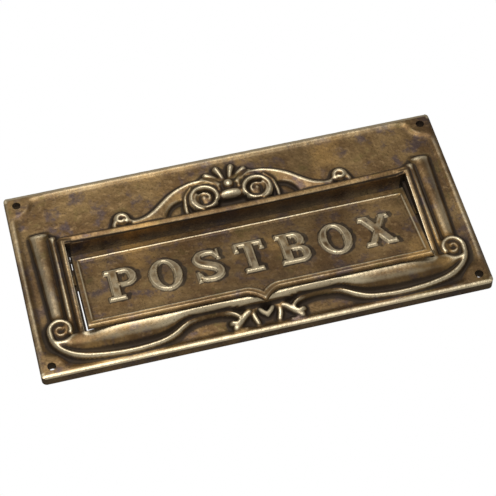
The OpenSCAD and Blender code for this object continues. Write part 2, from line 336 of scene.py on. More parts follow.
def slot_wall(u, z):
    """The side walls of the slot, falling towards the bottom, with a second bead outside."""
    fall = 9.6 + 0.105 * (np.clip(z, -44, 21) + 35)
    inner = (fall - FIELD) * step(107.2, 104.4, u) * step(-42.6, -39.6, z) * step(22.5, 19.5, z)
    inner = inner + 0.6 * half_round(u - 103.5, 1.5) * step(24.0, 20.5, z) * step(-41.5, -38.5, z)
    outer = (3.3 + 0.03 * (z + 35)) * half_round(u - 108.0, 2.4)
    return np.maximum(inner * (u > 98), outer * step(-42.0, -38, z) * step(30.5, 26.5, z))


def ledge(u, z):
    """The ledge over the slot, with a face that leans back at its foot and a hollow slope behind it."""
    over = z - SLOT_TOP - bow(u)
    nose = LEDGE_H - 0.2 * (3.4 - over) - 0.6 * step(1.0, -0.4, over) ** 2
    behind = (LEDGE_H + 0.1) * (1 - step(2.6, 9.8, over)) ** 1.1
    slope = soft_min(nose, behind, 0.25) + 0.35 * np.exp(-((over - 3.5) / 0.7) ** 2)
    return slope * step(107.6, 104.6, u) * (over > -3)


def column(u, z):
    """A column: a half-round, tapered downwards, with a thin lip at its head."""
    t = np.clip((COLUMN_TOP - z) / COLUMN_L, 0, 1)
    shaft = (4.4 - 0.8 * t) * half_round(u - COLUMN_X + 0.5 * t, 6.0 - 1.9 * t)
    shaft = shaft * step(33.0, 31.4, z) * step(-34, -28, z)
    lip = bead(u, z, curve([(110.2, 33.0), (112, 32.8), (115.5, 32.5), (119, 32.4), (121.0, 32.4)]), 1.0, 1.5)
    return soft_max(shaft, lip, 0.5) - 0.2


def sill(u, z):
    """The moulding under the slot: a broad crest falling through a hollow to the scroll's edge."""
    crest_z = -44.3 - 0.8 * (1 - step(15, 75, u))
    foot = scroll_level(np.clip(u, 24, 118)) - 2.6 * step(24, 8, u)
    down = np.clip((crest_z - z) / (crest_z - foot), 0, 2)
    low, top = 1.6, 4.9 + 4.4 * (1 - step(82, 110, u))
    body = low + (top - low) * np.interp(down, SILL[:, 0], SILL[:, 1])
    flank = np.where(u > 103.0, step(-36.0, -41.5, z), 1.0)
    return body * (z < -37) * (z > foot - 0.3) * (u < 120.8) * flank


def with_scroll(h, u, z):
    """The face with the volutes under the columns and the bead along the scroll laid on it."""
    vx, vz = VOLUTE
    away = np.hypot(u - vx, z - vz)
    disc = (2.6 + 0.12 * (z - vz)) * step(6.6, 5.4, away)
    disc = disc + bead(u, z, spiral(vx, vz, 3.7, 1.5, 150, 500, 40), 1.3, 1.1)
    h = np.where((away < 7.4) & (z > vz - 12), np.maximum(h * step(5.4, 7.4, away), FIELD + disc), h)
    edge = bead(u, z, SCROLL, (2.1, 1.9), (4.1, 3.9))
    h = soft_max(h, FIELD + edge + 0.5 * (edge > 0.4), 0.3) - 0.05
    foot_line = scroll_level(np.clip(u, 19, 118)) - 2.9
    return h + 0.45 * np.exp(-((z - foot_line) / 0.8) ** 2) * step(20, 30, u) * step(116, 104, u)


def leaf(u, z):
    """The leaf under the point of the flap, lobe by lobe."""
    h = np.zeros(u.shape)
    for line, wide, tall in (
            ([(4.6, -48.2), (2.8, -50.6), (0.0, -53.2)], (2.2, 1.6), (4.4, 3.2)),
            ([(7.4, -48.6), (7.6, -52.6), (6.2, -57.2)], (2.4, 1.6), (4.2, 2.4)),
            ([(10.0, -49.4), (13.8, -52.4), (17.0, -56.0), (19.0, -57.6)], (2.5, 2.2), (4.6, 3.2)),
            ([(13.0, -58.8), (16.4, -59.2), (19.6, -59.0)], (1.1, 1.2), (1.8, 2.4))):
        h = np.maximum(h, bead(u, z, curve(line), wide, tall, 5))
    return h


def neck(u, z):
    """A swan neck of the crest, sloping down from its edge, with a curl at its end and a window under it."""
    edge = CREST_EDGE[::-1]
    under = np.interp(u, edge[:, 0], edge[:, 1]) - z
    h = np.clip(4.0 - 0.23 * under, 0, None) * step(-0.6, 0.6, under) * step(64, 60, u)
    h = np.maximum(h, bead(u, z, CREST_EDGE, (1.2, 1.6), (3.2, 4.8)))
    h = np.maximum(h, (2.9 + 0.15 * (z - 31)) * step(5.4, 4.4, np.hypot(u - 66.2, z - 31.2)))
    h = np.maximum(h, bead(u, z, spiral(66.2, 31.0, 3.6, 1.5, 215, -150, 50), (2.0, 1.6), (3.8, 4.2)))
    h = np.maximum(h, bead(u, z, curve([(69.4, 24.0), (71.0, 27.2), (69.8, 30.4)]), 2.0, 3.2))
    ring = np.hypot(u - WINDOW[0], z - WINDOW[1])
    window = step(12.4, 11.4, ring) * (u > 28.6)
    return h * (1 - window) + 0.9 * window * step(10.6, 9.4, ring)


def shell(u, z):
    """The small shell, finger by finger, with the drop and the bridge under it."""
    h = 2.0 * step(12, 9, u) * step(29, 31, z) * step(46, 43, z + 0.25 * u)
    for line, wide, tall in (
            ([(1.4, 43), (2.8, 47.4), (4.6, 52.8)], (1.6, 2.1), (3.6, 4.4)),
            ([(3.4, 43), (7.4, 46.8), (11.6, 49.6)], (1.6, 2.0), (3.6, 4.2)),
            ([(5.2, 40.6), (9.0, 44.8), (14.6, 47.4)], (1.6, 1.5), (4.8, 3.6)),
            ([(5.8, 37.0), (7.0, 41.0), (10.8, 43.6), (17.0, 43.6)], (1.6, 1.4), (4.8, 4.2))):
        h = np.maximum(h, bead(u, z, curve(line), wide, tall, 4))
    h = np.maximum(h, dome(u, z, 0, 39.8, 4.2, 4.4, 6.4))
    return np.maximum(h, dome(u, z, 0, 33.0, 10.4, 4.2, 6.2))


def crest(u, z):
    """The crest over the ledge: swan necks, volutes with a strut beside each, and the shell between them."""
    h = neck(u, z)
    vx, vz = CREST_VOLUTE
    away = np.hypot(u - vx, z - vz)
    coil = bead(u, z, spiral(vx, vz, 8.4, 7.8, -75, 150, 60), 2.1, 4.6)
    coil = np.maximum(coil, bead(u, z, spiral(vx, vz, 7.8, 5.6, 150, 400, 60), (2.1, 1.7), (4.6, 4.2)))
    slit = curve([(vx + 2.2, vz - 2.6), (vx + 2.4, vz + 1), (vx, vz + 3), (vx - 2, vz + 1)])
    eye = (3.2 + 0.2 * (z - vz)) * step(5.2, 4.2, away) - bead(u, z, slit, 0.8, 1.3)
    h = np.where(away < 9.6, np.maximum(h * step(8.0, 9.8, away), 1.4 + np.maximum(coil, eye)), h)
    h = np.maximum(h, bead(u, z, curve([(27.8, 24), (27.6, 31), (26.2, 37.6), (22, 42.6)]), 1.7, (3.0, 4.4)))
    h = np.maximum(h, shell(u, z))
    return h * (1 - step(30.2, 28.8, z) * step(9.5, 7.5, u) * step(22, 25, z))


def plate_height(x, z):
    """Height of the face in front of the door at x, z."""
    u = np.abs(x)
    h = FIELD + rim(u, z)
    h = h + soft_max(slot_wall(u, z), ledge(u, z), 0.3) + column(u, z)
    h = np.where(z < SLOT_LOW + 5.5, soft_max(h, FIELD + sill(u, z), 0.25), h)
    h = with_scroll(h, u, z)
    h = soft_max(h, FIELD + leaf(u, z), 0.3) - 0.05
    return np.where((z > 22) & (u < 76), soft_max(h, FIELD + crest(u, z), 0.3) - 0.05, h)


def painted_shade_hollows(x, z):
    """Painted shade: under the bridge, along the windows beside the volutes and under the point of the flap.
    """
    u = np.abs(x)
    dark = step(10, 7, u) * step(24.6, 26, z) * step(30.4, 29, z)
    ring = np.hypot(u - WINDOW[0], z - WINDOW[1])
    dark = np.maximum(dark, np.exp(-((ring - 11.2) / 1.0) ** 2) * (u > 28.6) * (z > 22.5))
    dark = np.maximum(dark, step(6.5, 4.5, np.hypot(u, z + 50.5)) * step(-47, -49, z) * 0.6)
    return dark


def lumps(x, z, size, seed):
    """Low, smooth unevenness of a sand casting, about 1 high."""
    rng = np.random.default_rng(seed)
    out = np.zeros(x.shape)
    for k in range(14):
        a, f, p = rng.uniform(0, 2 * math.pi), rng.uniform(0.7, 1.6) / size, rng.uniform(0, 2 * math.pi)
        out += np.sin((x * math.cos(a) + z * math.sin(a)) * f * 2 * math.pi + p)
    return out / 5


def blurred(field, reach):
    """The field averaged over a square of about reach cells, three times, so that it is close to round."""
    for _ in range(3):
        for axis in (0, 1):
            pad = [(0, 0), (0, 0)]
            pad[axis] = (reach + 1, reach)
            total = np.cumsum(np.pad(field, pad, mode="edge"), axis=axis)
            count = 2 * reach + 1
            field = (np.take(total, range(count, total.shape[axis]), axis)
                     - np.take(total, range(0, total.shape[axis] - count), axis)) / count
    return field


def sheet_of(width, height, grain, middle_z=0.0):
    """A flat mesh of square cells, and the x and z of its points in millimetres."""
    bm = bmesh.new()
    bmesh.ops.create_grid(bm, x_segments=round(width / grain), y_segments=round(height / grain), size=1)
    co = np.array([v.co for v in bm.verts])
    return bm, co[:, 0] * width / 2, co[:, 1] * height / 2 + middle_z


def laid_out(x, z, values, grain):
    """The values as a grid of rows and columns, and each point's place in it."""
    place = np.rint((z - z.min()) / grain).astype(int), np.rint((x - x.min()) / grain).astype(int)
    grid = np.zeros((place[0].max() + 1, place[1].max() + 1))
    grid[place] = values
    return grid, place


def wear_maps(x, z, h, grain):
    """How far each point stands above (high) or below (deep) what is round it, from 0 to 1."""
    grid, place = laid_out(x, z, h, grain)
    fine = (grid - blurred(grid, max(1, round(0.8 / grain))))[place]
    broad = (grid - blurred(grid, round(2.6 / grain)))[place]
    high = np.clip(fine / 0.35, 0, 1) * 0.6 + np.clip(broad / 1.6, 0, 1) * 0.5
    deep = np.clip(-fine / 0.35, 0, 1) * 0.6 + np.clip(-broad / 2.0, 0, 1) * 0.4
    return np.clip(high, 0, 1), np.clip(deep, 0, 1)


def shaped(bm, x, z, h, high, deep):
    """Moves the sheet's points to their places and stores on them how rubbed and how dirty each is, with the
    painted highlight and painted shade.
    """
    wear_and_highlight = bm.verts.layers.float.new("high")
    grime_and_shade = bm.verts.layers.float.new("deep")
    for v, vx, vz, vh, a, b in zip(bm.verts, x, z, h, high, deep):
        v.co = (vx * MM, -vh * MM, vz * MM)
        v[wear_and_highlight] = a
        v[grime_and_shade] = b


def free_edges(bm):
    return [e for e in bm.edges if e.is_boundary]


def free_points(bm):
    return list(dict.fromkeys(v for e in free_edges(bm) for v in e.verts))


def walled(bm, level):
    """Carries the free edge straight back to a level, in metres along Y, and gives the new points."""
    made = bmesh.ops.extrude_edge_only(bm, edges=free_edges(bm))["geom"]
    points = [v for v in made if isinstance(v, bmesh.types.BMVert)]
    for v in points:
        v.co.y = level(v.co) if callable(level) else level
    return points


def toned(bm, points, tone):
    """Gives each point its rubbing, dirt and painted shade by its place."""
    for v in points:
        v[bm.verts.layers.float["high"]], v[bm.verts.layers.float["deep"]] = tone(v.co)


def loop_of(bm, points, y):
    """A closed line of edges through x, z points in millimetres."""
    ring = [bm.verts.new((px * MM, y, pz * MM)) for px, pz in points]
    return [bm.edges.new(pair) for pair in zip(ring, ring[1:] + ring[:1])]


def piece(name, bm, material, crease=50):
    """A finished mesh as an object at the origin. Edges bent by more than crease degrees look sharp."""
    bmesh.ops.recalc_face_normals(bm, faces=bm.faces)
    data = bpy.data.meshes.new(name)
    bm.to_mesh(data)
    bm.free()
    data.materials.append(material)
    for face in data.polygons:
        face.use_smooth = True
    data.set_sharp_from_angle(angle=math.radians(crease))
    made = bpy.data.objects.new(name, data)
    bpy.context.collection.objects.link(made)
    return made


def antique_brass(name, tone=1.0):
    """Cast brass browned with age, rubbed back to pale gold on the high parts and dark in the hollows, with
    painted highlights and painted shade carried in the same high and deep attributes.
    """
    m = Finish(name)
    high = m.node("Attribute", {"attribute_name": "high"}, 2)
    deep = m.node("Attribute", {"attribute_name": "deep"}, 2)
    cloud = m.patch(42, 5, 0.6)
    tint = m.patch(90, 5, 0.62, seat=(3, 1, 2))
    fleck = m.patch(330, 4, 0.6, seat=(2, 7, 1))
    stain = m.patch(14, 3, 0.5, seat=(7, 0, 4))
    warm = m.patch(24, 4, 0.6, seat=(1, 5, 9))
    grain = m.patch(900, 6, 0.7)
    speck = m.patch(2600, 3, 0.6)

    def shade(*colour):
        return tuple(part * tone for part in colour)

    # Brown and umber clouds, violet, ochre and olive patches, broad stains and warm places.
    base = m.blend(cloud.ramp(0.36, 0.66), shade(0.140, 0.082, 0.036), shade(0.260, 0.168, 0.072))
    base = m.blend(tint.ramp(0.52, 0.66) * 0.75, base, shade(0.095, 0.072, 0.078))
    base = m.blend(fleck.ramp(0.52, 0.68) * 0.6, base, shade(0.32, 0.21, 0.10))
    base = m.blend(tint.ramp(0.44, 0.28) * 0.5, base, shade(0.135, 0.115, 0.034))
    base = m.blend(stain.ramp(0.42, 0.60) * 0.45, base, shade(0.075, 0.045, 0.022))
    base = m.blend(warm.ramp(0.56, 0.70) * 0.6, base, shade(0.38, 0.23, 0.08))
    # Dirt in the hollows together with the painted shade that deep carries, pale gold where it is rubbed
    # together with the painted highlights that high carries, and dark pores all over.
    hollow = (deep + (grain - 0.5) * 0.5 * deep.ramp(0.0, 0.4)).ramp(0.06, 0.62)
    base = m.blend(hollow * 0.86, base, (0.018, 0.012, 0.008))
    worn_and_highlit = (high + (grain - 0.5) * 0.5 + (cloud - 0.5) * 0.4).ramp(0.25, 0.95)
    base = m.blend(worn_and_highlit * 0.9, base, (0.70, 0.59, 0.39))
    base = m.blend(grain.ramp(0.52, 0.70) * 0.7, base, (0.035, 0.022, 0.012))
    rough = 0.48 - worn_and_highlit * 0.04 + hollow * 0.2 + (speck - 0.5) * 0.2
    bump = m.node("Bump", Strength=0.6, Distance=0.00025, Height=grain * 0.6 + speck * 0.4)
    metal = 0.95 - hollow * 0.3
    return m.finish(m.node("BsdfPrincipled", Base_Color=base, Metallic=metal, Roughness=rough, Normal=bump))


# The sheet is drawn a little out of square: its rows follow the bowed ledge and its columns the side walls.
bm, gx, gz = sheet_of(PLATE_W, PLATE_H, GRAIN)
gu = np.abs(gx)
beside = (1 - step(101, 107, gu)) * (gu > 100.9) * step(20, 17, gz) * step(-45, -41.5, gz)
over_slot = (1 - step(17, 27, gz)) * (gz > 16.9) * (gu < 112)
px = gx + np.sign(gx) * 1.1 * beside
pz = gz + bow(gx) * over_slot
ph = plate_height(px, pz)
brim = np.minimum(PLATE_W / 2 - gu, PLATE_H / 2 - np.abs(gz))
grid, place = laid_out(gx, gz, ph, GRAIN)
ph = np.where(brim > 2, 0.25 * ph + 0.75 * blurred(grid, 1)[place], ph)

# Wear and dirt, with painted light: the walls, the ledge and the moulding are rubbed less than the rest, and
# the rim more; the hollows by the crest and the flap's point get painted shade, and the top rim and the top
# and bottom edges a painted highlight.
in_slot = (gu < SLOT_X) & (gz < SLOT_TOP) & (gz > SLOT_LOW)
high, deep = wear_maps(gx, gz, np.where(in_slot, 3.0, ph), GRAIN)
# Painted shade under the crest's bridge, along the windows and under the flap's point.
deep = np.maximum(deep, painted_shade_hollows(px, pz))
on_wall = step(101, 101.5, gu) * step(107, 105, gu) * step(-44, -40, gz) * step(26, 24, gz)
on_wall = np.maximum(on_wall, step(104, 102, gu) * step(24, 21, gz) * (gz > 15))
high = high * (1 - 0.6 * on_wall)
on_ledge = step(106, 103, gu) * step(17.5, 19, gz) * step(25.5, 23.5, gz)
high = high * (1 - 0.45 * on_ledge)
# Painted highlight: a pale band along the top rim.
top_rim_highlight = step(57.6, 58.8, gz) * step(62.6, 61.6, gz) * step(119, 115, gu)
high = np.maximum(high, 0.38 * top_rim_highlight)
on_sill = step(-42, -44, gz) * step(-49.5, -47, gz) * step(113, 108, gu)
high = high * (1 - 0.12 * on_sill)
# The outer edge is rubbed pale all round, and paler along the top and bottom as painted highlight.
high = np.maximum(high, 0.8 * step(2.7, 1.6, brim) * np.where(np.abs(gz) > 60, 1.0, 0.5))
ph = ph + 0.05 * lumps(gx, gz, 9, 1) + 0.03 * lumps(gx, gz, 3.5, 2)
cells = [(f, f.calc_center_median()) for f in bm.faces]
shaped(bm, px, pz, ph, high, deep)

# The slot, the screw holes and the corners are cut out cell by cell, and the cut edges are drawn true.
waste = []
for f, c in cells:
    cx, cz = c.x * PLATE_W / 2, c.y * PLATE_H / 2
    slot_here = abs(cx) < SLOT_X and SLOT_LOW < cz < SLOT_TOP
    screw_here = math.hypot(abs(cx) - HOLE_X, abs(cz) - HOLE_Z) < HOLE_R
    past = (abs(cx) - PLATE_W / 2 + CORNER, abs(cz) - PLATE_H / 2 + CORNER)
    corner_here = min(past) > 0 and math.hypot(*past) > CORNER
    if slot_here or screw_here or corner_here:
        waste.append(f)
bmesh.ops.delete(bm, geom=waste, context="FACES")
for v in free_points(bm):
    sx, sz = math.copysign(1, v.co.x), math.copysign(1, v.co.z)
    hole = Vector((v.co.x / MM - sx * HOLE_X, v.co.z / MM - sz * HOLE_Z))
    turn = Vector((v.co.x / MM - sx * (PLATE_W / 2 - CORNER), v.co.z / MM - sz * (PLATE_H / 2 - CORNER)))
    if hole.length < HOLE_R + 1.2:
        hole = hole.normalized() * HOLE_R
        v.co.x, v.co.z = (sx * HOLE_X + hole.x) * MM, (sz * HOLE_Z + hole.y) * MM
    elif turn.x * sx > 0 and turn.y * sz > 0 and turn.length > CORNER - 0.8:
        turn = turn.normalized() * CORNER
        v.co.x = (sx * (PLATE_W / 2 - CORNER) + turn.x) * MM
        v.co.z = (sz * (PLATE_H / 2 - CORNER) + turn.y) * MM


def on_side(co):
    """Whether a point is on a side wall of the slot."""
    return 101 * MM < abs(co.x) < 104 * MM and (SLOT_LOW - 1) * MM < co.z < (SLOT_TOP + 3) * MM


def on_ceiling(co):
    """1 at the slot's ceiling, falling to 0 in the 6 mm below it, and 0 outside the slot."""
    top = SLOT_TOP + bow(co.x / MM)
    near_it = 1 - (top - co.z / MM) / 6
    return min(1.0, near_it) if abs(co.x) < 103 * MM and near_it > 0 and co.z < (top + 1) * MM else 0.0


def lowered(points, middle, ends):
    """Lowers the ceiling, by more at the ends of the slot, where the ledge bows up."""
    for v in points:
        v.co.z -= on_ceiling(v.co) * (middle + (ends - middle) * (v.co.x / (LEDGE_END * MM)) ** 2) * MM
    return points


def wall_painted_shade(co):
    """Painted shade on the walls: near black deep in the slot's sides and lighter near their front, dim on the
    slot's ceiling, and dull elsewhere.
    """
    if 99 * MM < abs(co.x) < 104 * MM and (SLOT_LOW - 1) * MM < co.z < (SLOT_TOP + 3) * MM:
        return 0.0, 0.35 if co.y < -8 * MM else 1.0
    return (0.0, 0.24) if on_ceiling(co) > 0.5 else (0.1, 0.35)


# The walls go back to the door, and those at the slot's ends step in to a narrower opening at the back.
REBATE_H, REBATE_X = 7.0, 100.65
walls = lowered(walled(bm, lambda co: min(co.y + 0.8 * MM, -0.5 * MM)), 0.1, 0.75)
walls += lowered(walled(bm, lambda co: co.y + 1.6 * MM if on_ceiling(co) > 0.9 else co.y), 0.05, 0.4)
walls += walled(bm, lambda co: max(co.y, -REBATE_H * MM) if on_side(co) else co.y)
rebate = walled(bm, lambda co: co.y)
for v in rebate:
    v.co.x = math.copysign(REBATE_X * MM, v.co.x) if on_side(v.co) else v.co.x
walls += rebate + walled(bm, 0.0)
toned(bm, walls, wall_painted_shade)
bmesh.ops.remove_doubles(bm, verts=bm.verts, dist=0.002 * MM)

# The back is hollow, 2.8 deep, between the rim with its four bosses and the land round the slot.
POCKET = 2.8 * MM
BOSS_R = 8.0
boss = arc(0, 0, BOSS_R, BOSS_R, -68, -202, 22)
corners = []
for sx, sz in ((1, 1), (-1, 1), (-1, -1), (1, -1)):
    bend = boss * (sx, sz) + (sx * HOLE_X, sz * HOLE_Z)
    corners.append(bend if sx * sz > 0 else bend[::-1])
outer = loop_of(bm, np.vstack(corners), 0.0)
inner = loop_of(bm, [(-105.6, -45.5), (105.6, -45.5), (105.6, 21), (-105.6, 21)], 0.0)
open_edges = free_edges(bm)
slot_edges = [e for e in open_edges
              if all(abs(v.co.x) < 104 * MM and -44 * MM < v.co.z < 19 * MM for v in e.verts)]
round_slot = set(slot_edges)
bmesh.ops.triangle_fill(bm, edges=[e for e in open_edges if e not in round_slot] + outer, use_beauty=True)
bmesh.ops.triangle_fill(bm, edges=slot_edges + inner, use_beauty=True)
made = bmesh.ops.extrude_edge_only(bm, edges=outer + inner)["geom"]
floor_points = {v for v in made if isinstance(v, bmesh.types.BMVert)}
bmesh.ops.translate(bm, verts=list(floor_points), vec=(0, -POCKET, 0))
floor_edges = [e for e in made
               if isinstance(e, bmesh.types.BMEdge) and all(v in floor_points for v in e.verts)]
bmesh.ops.triangle_fill(bm, edges=floor_edges, use_beauty=True)

# Two small rests stand out of the side walls of the slot, and the shut flap lies against them.
SLOPE = math.radians(11)
ROD_H, ROD_Z = 3.0, 12.0
FLAP_BACK = 1.6
REST_X, REST_W, REST_BACK, REST_TOP, REST_LOW = 96.5, 5.4, -1.5, 4, -8


def rest_face(z):
    """Where the back of the shut flap is at z, less a small gap."""
    return -(ROD_H + FLAP_BACK / math.cos(SLOPE) - 0.15) - (ROD_Z - z) * math.tan(SLOPE)


for side in (-1, 1):
    wedge = [(REST_BACK, REST_TOP), (rest_face(REST_TOP), REST_TOP), (rest_face(REST_LOW), REST_LOW),
             (REST_BACK, REST_LOW)]
    end = bm.faces.new([bm.verts.new((side * REST_X * MM, y * MM, z * MM)) for y, z in wedge])
    far = bmesh.ops.extrude_face_region(bm, geom=[end])["geom"]
    far = [v for v in far if isinstance(v, bmesh.types.BMVert)]
    bmesh.ops.translate(bm, verts=far, vec=(side * REST_W * MM, 0, 0))
plate = piece("plate_casting", bm, antique_brass("antique_brass"))
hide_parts("plate")
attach(plate, "frame")

# --- The flap --------------------------------------------------------------------------------------------
# A second brass casting: a sunk field in a raised border, seven raised slab capitals, and a short pointed
# drop in the lower edge. It hangs on the rod by four knuckles, and its lower edge lies over the moulding.
FLAP_X, FLAP_TOP, FLAP_LOW = 100.3, 1.2, -57.0
DROP_W, DROP_L = 10.0, 8.0
BORDER_H, FIELD_H, RELIEF = 4.2, 3.2, 1.5
CAP, BASELINE, PITCH = 24.5, -41.75, 25.0
STEM, SERIF = 5.6, 3.4


def bar_gap(x, z, x0, z0, x1, z1):
    """Distance outside a straight-sided block, negative inside it."""
    return np.maximum(np.abs(x - (x0 + x1) / 2) - (x1 - x0) / 2, np.abs(z - (z0 + z1) / 2) - (z1 - z0) / 2)


def oval_gap(x, z, cx, cz, rx, rz):
    """About the distance outside an oval, negative inside it."""
    a, b = (x - cx) / rx, (z - cz) / rz
    k = np.maximum(np.hypot(a, b), 1e-6)
    return (k - 1) * k / np.maximum(np.hypot(a / rx, b / rz), 1e-6)


def ring_gap(x, z, cx, cz, rx, rz, side, end):
    """A letter's round stroke: side is its thickness at left and right, end at top and bottom."""
    return np.maximum(oval_gap(x, z, cx, cz, rx, rz), -oval_gap(x, z, cx, cz, rx - side, rz - end))


def upright(x, z, at, wide):
    """A stem with a slab serif at its head and foot."""
    stroke = bar_gap(x, z, at - STEM / 2, 0, at + STEM / 2, CAP)
    for low in (0, CAP - SERIF):
        stroke = np.minimum(stroke, bar_gap(x, z, at - wide / 2, low, at + wide / 2, low + SERIF))
    return stroke


def bowl(x, z, at, low, wide, tall):
    """The round stroke of P and B, open at the upright."""
    r = tall / 2
    turn = at + wide - r
    round_end = np.maximum(ring_gap(x, z, turn, low + r, r, r, STEM * 0.9, SERIF), turn - 1.2 - x)
    top = bar_gap(x, z, at, low + tall - SERIF, turn + 0.3, low + tall)
    foot = bar_gap(x, z, at, low, turn + 0.3, low + SERIF)
    return np.minimum(round_end, np.minimum(top, foot))


def letter_p(x, z):
    return np.minimum(upright(x, z, -4.6, 10.4), bowl(x, z, -4.6, CAP * 0.42, 13.6, CAP * 0.58))


def letter_o(x, z):
    return ring_gap(x, z, 0, CAP / 2, 9.8, CAP / 2 + 0.3, STEM - 0.2, 3.0)


def letter_s(x, z):
    line = curve([(6.0, 19.0), (4.2, 22.0), (0, 22.9), (-4.2, 21.6), (-5.7, 18.2), (-4.0, 14.9), (0, 12.6),
                  (4.1, 10.1), (5.8, 6.5), (4.2, 3.0), (0, 1.6), (-4.4, 2.5), (-6.4, 5.8)])
    gap, along = near(x, z, line, 6)
    stroke = gap - 1.6 - 1.4 * np.sin(math.pi * along) ** 2
    tips = np.minimum(bar_gap(x, z, 5.4, CAP - 8.4, 7.8, CAP), bar_gap(x, z, -8.2, 0, -5.8, 8.6))
    return np.minimum(stroke, tips)


def letter_t(x, z):
    stroke = np.minimum(upright(x, z, 0, 11.5), bar_gap(x, z, -8.8, CAP - SERIF, 8.8, CAP))
    for side in (-1, 1):
        stroke = np.minimum(stroke, bar_gap(x * side, z, 6.0, CAP - 7.2, 8.8, CAP))
    return stroke


def letter_b(x, z):
    bowls = np.minimum(bowl(x, z, -4.4, CAP * 0.47, 12.2, CAP * 0.53), bowl(x, z, -4.4, 0, 13.4, CAP * 0.55))
    return np.minimum(upright(x, z, -4.4, 9.4), bowls)


def letter_x(x, z):
    foot = 6.2
    reach = math.hypot(2 * foot, CAP)
    cross = np.full(x.shape, 1e3)
    for side, wide in ((1, STEM - 1.2), (-1, STEM)):
        off = np.abs((side * x) * CAP - (z - CAP / 2) * 2 * foot) / reach - wide / 2
        cross = np.minimum(cross, np.maximum(off, np.maximum(-z, z - CAP)))
        for low in (0, CAP - SERIF):
            cross = np.minimum(cross, bar_gap(x * side, z, foot - 3.2, low, foot + 3.2, low + SERIF))
    return cross


def flap_low(x):
    """Lower edge of the flap at x, with the drop in its middle, and how steep it is there."""
    t = np.clip(1 - np.abs(x) / DROP_W, 0, 1)
    return FLAP_LOW - DROP_L * t ** 1.7, DROP_L * 1.7 / DROP_W * t ** 0.7


def flap_height(x, z):
    """Height of the flap's face over the rod's middle, and the distance outside the letters."""
    low, steep = flap_low(x)
    edge = np.minimum(np.minimum(FLAP_X - np.abs(x), FLAP_TOP - z), (z - low) / np.hypot(1, steep))
    h = BORDER_H - 0.8 * step(1.3, 0.0, edge) ** 2
    edge = np.minimum(edge, FLAP_TOP - z - 2.0)
    h = h + 0.22 * np.exp(-((edge - 3.3) / 0.5) ** 2)
    h = h - (BORDER_H - FIELD_H) * step(3.7, 4.9, edge)
    gap = np.full(x.shape, 1e3)
    for place, letter in enumerate((letter_p, letter_o, letter_s, letter_t, letter_b, letter_o, letter_x)):
        gap = np.minimum(gap, letter(x - (place - 3) * PITCH, z - BASELINE))
    return h + RELIEF * step(0.25, -0.85, gap), gap


# Painted shadow lies to the right of and over the letters, and painted shade at the flap's ends; the field is
# darker near the border; the letter tops are rubbed pale, more so low down, and their lower left edges carry a
# painted highlight.
FLAP_H = FLAP_TOP - FLAP_LOW + DROP_L
FLAP_GRAIN = 0.42
bm, gx, gz = sheet_of(2 * FLAP_X, FLAP_H, FLAP_GRAIN, FLAP_TOP - FLAP_H / 2)
fh, gap = flap_height(gx, gz)
high, deep = wear_maps(gx, gz, fh, FLAP_GRAIN)
# Painted shadow: dark to the right of and above each letter.
shadow_side = flap_height(gx - 1.3, gz - 0.5)[1] + 0.7 * lumps(gx, gz, 6, 6)
deep = np.clip(deep * 0.6 + 0.75 * step(1.8, 0.0, shadow_side) * step(-0.6, 0.2, gap), 0, 1)
frame_in = np.minimum(np.minimum(FLAP_X - np.abs(gx), gz - FLAP_LOW), FLAP_TOP - 2 - gz) - 4.5
in_field = step(-1.0, 0.3, frame_in) * step(-0.5, 0.5, gap)
deep = np.maximum(deep, 0.32 * step(9, 0, frame_in + 3 * lumps(gx, gz, 30, 8)) * in_field)
high = np.maximum(high, 0.3 * step(12, 3, gap + 3 * lumps(gx, gz, 18, 9)) * in_field * step(5, 10, frame_in))
rubbed = 0.52 + 0.2 * lumps(gx, gz, 8, 12) + 0.22 * step(BASELINE + 9, BASELINE + 1, gz)
high = np.maximum(high, rubbed * step(0, -0.8, gap))
# Painted highlight on the lower left edges of the letters.
lit = flap_height(gx - 0.7, gz - 1.4)[1]
high = np.maximum(high, 1.1 * step(-0.7, 0.2, lit) * step(0.3, -0.3, gap))
# Painted shade along the flap's left and right ends.
deep = np.maximum(deep, 0.7 * step(1.6, 0.2, FLAP_X - np.abs(gx)))
fh = fh + 0.06 * lumps(gx, gz, 11, 3) + 0.035 * lumps(gx, gz, 4, 4)
shaped(bm, gx, gz, fh, high, deep)
waste = []
for f in bm.faces:
    c = f.calc_center_median() / MM
    if c.z < flap_low(c.x)[0]:
        waste.append(f)
bmesh.ops.delete(bm, geom=waste, context="FACES")
for v in free_points(bm):
    if v.co.z < (FLAP_LOW + 3) * MM and abs(v.co.x) < (FLAP_X - 1) * MM:
        v.co.z = float(flap_low(v.co.x / MM)[0]) * MM
bmesh.ops.remove_doubles(bm, verts=free_points(bm), dist=0.3 * MM)
toned(bm, walled(bm, lambda co: co.y + 0.5 * MM), lambda co: (0.35, 0.1))
toned(bm, walled(bm, -FLAP_BACK * MM), lambda co: (0.0, 0.5))
bmesh.ops.remove_doubles(bm, verts=free_points(bm), dist=0.002 * MM)
bmesh.ops.triangle_fill(bm, edges=free_edges(bm), use_beauty=True)


def solid_bar(bm, x0, x1, r, y=0.0, z=0.0, soft=0.25):
    """A round bar along X with softened ends, in millimetres."""
    made = bmesh.ops.create_cone(bm, cap_ends=True, segments=40, radius1=r * MM, radius2=r * MM,
                                 depth=(x1 - x0) * MM)["verts"]
    turn = Matrix.Translation(((x0 + x1) / 2 * MM, y * MM, z * MM)) @ Matrix.Rotation(math.pi / 2, 4, "Y")
    bmesh.ops.transform(bm, verts=made, matrix=turn)
    ends = [f for f in bm.faces if len(f.verts) == 40 and all(v in set(made) for v in f.verts)]
    rims = [e for f in ends for e in f.edges]
    bmesh.ops.bevel(bm, geom=rims, offset=soft * MM, segments=3, profile=0.5, affect="EDGES", material=-1)


